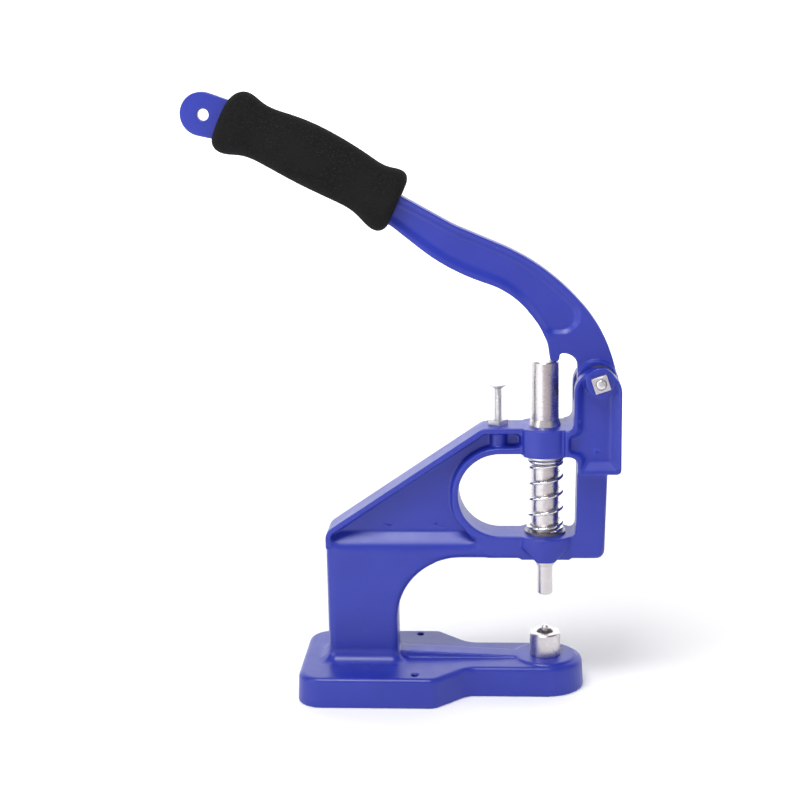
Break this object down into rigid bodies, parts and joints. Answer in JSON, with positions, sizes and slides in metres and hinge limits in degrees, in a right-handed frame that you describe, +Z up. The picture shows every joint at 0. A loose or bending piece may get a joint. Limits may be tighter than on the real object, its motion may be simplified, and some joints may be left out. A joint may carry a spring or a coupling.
{
  "type": "bench hand press for snaps and eyelets",
  "caption": "Bench hand press for setting snaps and eyelets: blue cast C-frame on a flat foot, cranked lever with foam grip, spring-returned ram with punch over a die.",
  "frame": {"origin": "on the foot's underside, under the ram's axis", "axes": "+Z up along the ram, +X from the column towards the ram and the yoke, +Y to the back, the lever's pivot runs along Y"},
  "size_m": [0.2485, 0.0824, 0.3544],
  "materials": {
    "blue_paint": "semi-gloss paint on a fine cast surface",
    "black_foam": "matt closed-cell foam",
    "nickel": "polished nickel plate",
    "zinc_plate": "satin zinc plate",
    "spring_steel": "drawn bright wire",
    "dark_steel": "oiled dark steel",
    "bronze": "plain bronze"
  },
  "bodies": {
    "root": {"frame_casting": "blue_paint", "pivot_bolt": "zinc_plate", "pivot_nut": "zinc_plate", "pivot_washer": "zinc_plate", "shim_front": "dark_steel", "shim_rear": "dark_steel", "spring_seat_washer": "dark_steel", "return_spring": "spring_steel", "lower_die": "nickel", "die_pin": "nickel", "stop_nut": "zinc_plate", "guide_ring": "nickel"},
    "lever": {"lever": "blue_paint", "lever_grip": "black_foam", "lever_bush": "bronze"},
    "ram": {"ram": "nickel", "ram_circlip": "dark_steel", "spring_washer_upper": "zinc_plate", "punch": "nickel"},
    "stop_screw": {"stop_screw": "zinc_plate"}
  },
  "joints": [
    {"name": "lever_stroke", "type": "hinge", "parent": "root", "child": "lever", "pos_m": [0.031, 0, 0.1882], "axis": [0, -1, 0], "range_deg": [0, 47.4], "stiffness_Nm_per_rad": 3.1, "springref_deg": -15.81},
    {"name": "ram_slide", "type": "slide", "parent": "root", "child": "ram", "axis": [0, 0, -1], "range_m": [0, 0.02308], "stiffness_N_per_m": 20, "springref_m": -0.12, "deforming": ["return_spring"]},
    {"name": "stop_adjust", "type": "slide", "parent": "root", "child": "stop_screw", "axis": [0, 0, -1], "range_m": [0, 0.004]}
  ],
  "couplings": [
    {"joint": "ram_slide", "follows": "lever_stroke", "m_per_rad": 0.0279}
  ]
}
